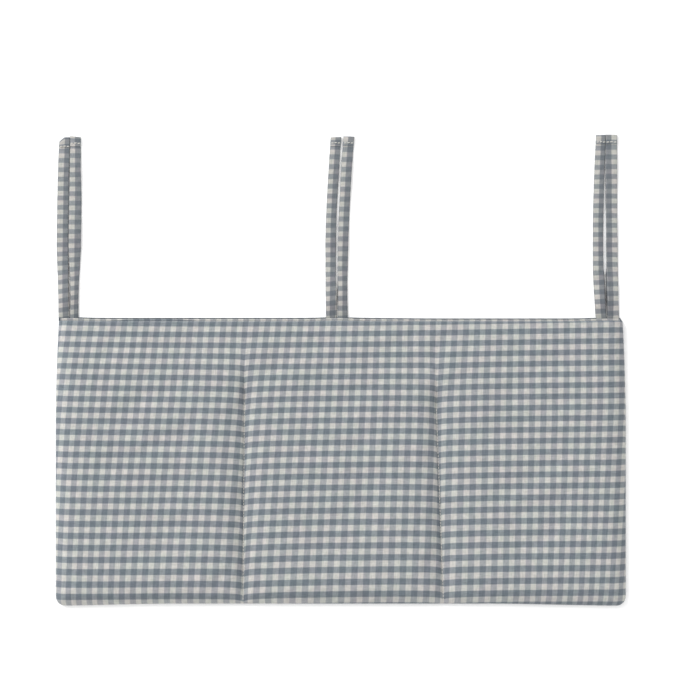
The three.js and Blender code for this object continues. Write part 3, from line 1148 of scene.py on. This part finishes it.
def tail_ring(tie, side, s):
    tail, wander = tails[tie, side], tail_wander(tie, side)
    sign = -1 if side == "left" else 1
    length = tie_length + tail["longer"]
    hem_start = length - hem_length
    centre_x, width, angle = tail_shape(tie, side, s)
    thickness = lerp(tie_thickness, tape_fullness, smooth(s, 0, fullness_reach))
    section = tape_section(width / 2, thickness)

    # Its own thickness: rounded off at the tip, doubled at the hem and lofty all along
    rounded = max(0, (s - length + tail_round) / tail_round)
    tip = max(math.sqrt(max(0, 1 - rounded ** 2)), thinnest_tip)
    x, z = section[:, 0], section[:, 1] * tip
    hem = hem_thickness * smooth(s, hem_start, hem_start + hem_rise)
    loft = tape_loft * np.cos(x / width * math.pi) * (1 + waver(loft_waver, s, wander))
    z = z + (z > 0) * (hem + loft) * tip

    # How it lies: turned about its length, and waving a little above the floor
    waving = smooth(s, *wave_change) * (1 - smooth(s, hem_start - wave_fade, hem_start))
    lift = wave_height * waving * (1 + math.sin(2 * math.pi * s / wave_length + wander))
    lift += abs(math.sin(angle)) * width / 2
    x_turned = x * math.cos(angle) - z * math.sin(angle)
    z_turned = x * math.sin(angle) + z * math.cos(angle)

    # Its tip is cut aslant, and its underside spreads below the slit but never crosses it
    corner = tail["slant"] * np.clip(1 - (x + width / 2) / tail["slant_width"], 0, 1)
    pulled = corner * smooth(s, hem_start, length)
    under = (z < 0) * (1 - smooth(s, *spread_change[tie]))
    room = np.min(sign * (centre_x + x_turned - slit_x(tie, s))) - slit_clearance
    moved = np.minimum(underside_spread[tie] * under, room) * smooth(-sign * x, 0, width / 2)
    height = lerp(thickness / 2 + lift + z_turned, tape_underside, under)
    points = np.stack([centre_x + (x_turned - sign * moved), tie_root_y + s - pulled, height],
                      axis=1)

    # Its checks lean near the root, and the turned-up hem's are half a check further on
    around = run_along(section)
    settled = smooth(s, 0, rise_length[tie])
    shift = 0.5 if s > hem_start + hem_checks_start else 0.0
    first = tail["first_check"] + tail["root_shift"] * (1 - settled)
    aslant = tail["skew"] * np.minimum(around, width) * (1 - settled ** 2)
    checks = np.stack([first + around / (width * tape_check_width),
                       tail["phase"] + shift - (s - aslant) / tail["pitch"]], axis=1)
    return points, checks


def tie_tail(tie, side):
    """A tail of folded tape, from the mouth's fold to its doubled-over tip."""
    hem_start = tie_length + tails[tie, side]["longer"] - hem_length
    places = np.concatenate([
        np.linspace(tail_start, root_reach, root_steps),
        np.linspace(root_reach, hem_start, tape_steps)[1:],
        hem_start + np.array(hem_steps),
    ])
    rings, ring_checks = zip(*(tail_ring(tie, side, s) for s in places))
    piece = mesh_object(f"{tie}_{side}_tape", np.concatenate(rings),
                        tube_faces(len(rings), len(rings[0])), np.concatenate(ring_checks),
                        tape_gingham)
    body = f"{tie}_tie_{side}"
    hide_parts(f"{body}_tail")
    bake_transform(piece)


def hem_stitches(tie, side):
    """The row of stitches across a tail's doubled-over tip."""
    stitched_at = tails[tie, side]["stitches"]
    tip_width = tails[tie, side]["widths"][-1]
    scale = tip_width / tie_width
    left_x = tail_centre(tie, side, stitched_at) - tip_width / 2
    top = tape_fullness + hem_thickness
    spans = []
    for step in range(hem_stitch_count):
        x = left_x + (hem_stitch_margin + step * hem_stitch_pitch) * scale
        y = tie_root_y + stitched_at + (step % 2) * hem_stitch_waver
        spans.append([(x, y, top), (x + hem_stitch_length * scale, y + hem_stitch_waver, top)])
    body = f"{tie}_tie_{side}"
    stitch_row(f"{tie}_{side}_hem_stitches", spans, (0, 0, 1), hem_stitch_lift, body,
               f"{body}_hem_thread", hem_stitch_radius)


def tie_fold(tie):
    """The folded middle of a tie, caught between the back's cloths."""
    low, high = frame_box(f"{tie}_tie_root")
    middle = (low[2] + high[2]) / 2
    section = tape_section((high[0] - low[0]) / 2, high[2] - low[2])
    around = run_along(section)
    places = np.linspace(low[1], high[1] - fold_end_gap, tie_fold_steps)
    points, checks = [], []
    for y in places:
        tip = max(thinnest_fold, float(roundness(y - low[1] + fold_start, fold_round)))
        for (x, z), place in zip(section, around):
            points.append((tie_centres[tie] + x, y, middle + z * tip))
            checks.append((place / tie_width, y / fold_pitch))
    faces = tube_faces(len(places), len(section))
    piece = mesh_object(f"{tie}_tie_fold", points, faces, checks, tape_gingham)
    panel_piece(piece, f"{tie}_tie_root")


# The whole organizer, put together

front_swell = simulated_swell()
front = front_cloth()
back = back_cloth()
back_lining_piece = back_lining_cloth()
front_lining_piece = front_lining_cloth()
back_wadding = wadding_layer("back_wadding", "back_inner", "back_lining_low",
                             root_tab_length + layer_gap, "back_padding")
front_wadding = wadding_layer("front_wadding", "front_lining_high", "front_inner",
                              seam_allowance, "front_padding", risen=front_swell)

for side, (divider, start_y) in zip(("left", "right"), dividers):
    divider_stitches(f"{side}_divider_front_stitches", divider, start_y, "front_outer", True,
                     f"{side}_divider_needle_thread")
    divider_stitches(f"{side}_divider_back_stitches", divider, start_y, "back_outer", False,
                     f"{side}_divider_bobbin_thread")

for tie in tie_centres:
    tie_fold(tie)
    for side in ("left", "right"):
        tie_tail(tie, side)
        hem_stitches(tie, side)

seam_stitches("edge_seam_stitches", *edge_line(), "back_lining_high", "front_lining_low",
              "edge_seam_thread")
mouth_x = np.linspace(-mouth_seam_reach, mouth_seam_reach, long_seam_steps)
for wall, seam_y, low_face, high_face in (
        ("back", back_seam_y, "back_inner", "back_lining_low"),
        ("front", front_seam_y, "front_lining_high", "front_inner")):
    seam_stitches(f"{wall}_mouth_seam_stitches", mouth_x, np.full(mouth_x.shape, seam_y),
                  low_face, high_face, f"{wall}_mouth_seam_thread")

bpy.context.view_layer.update()
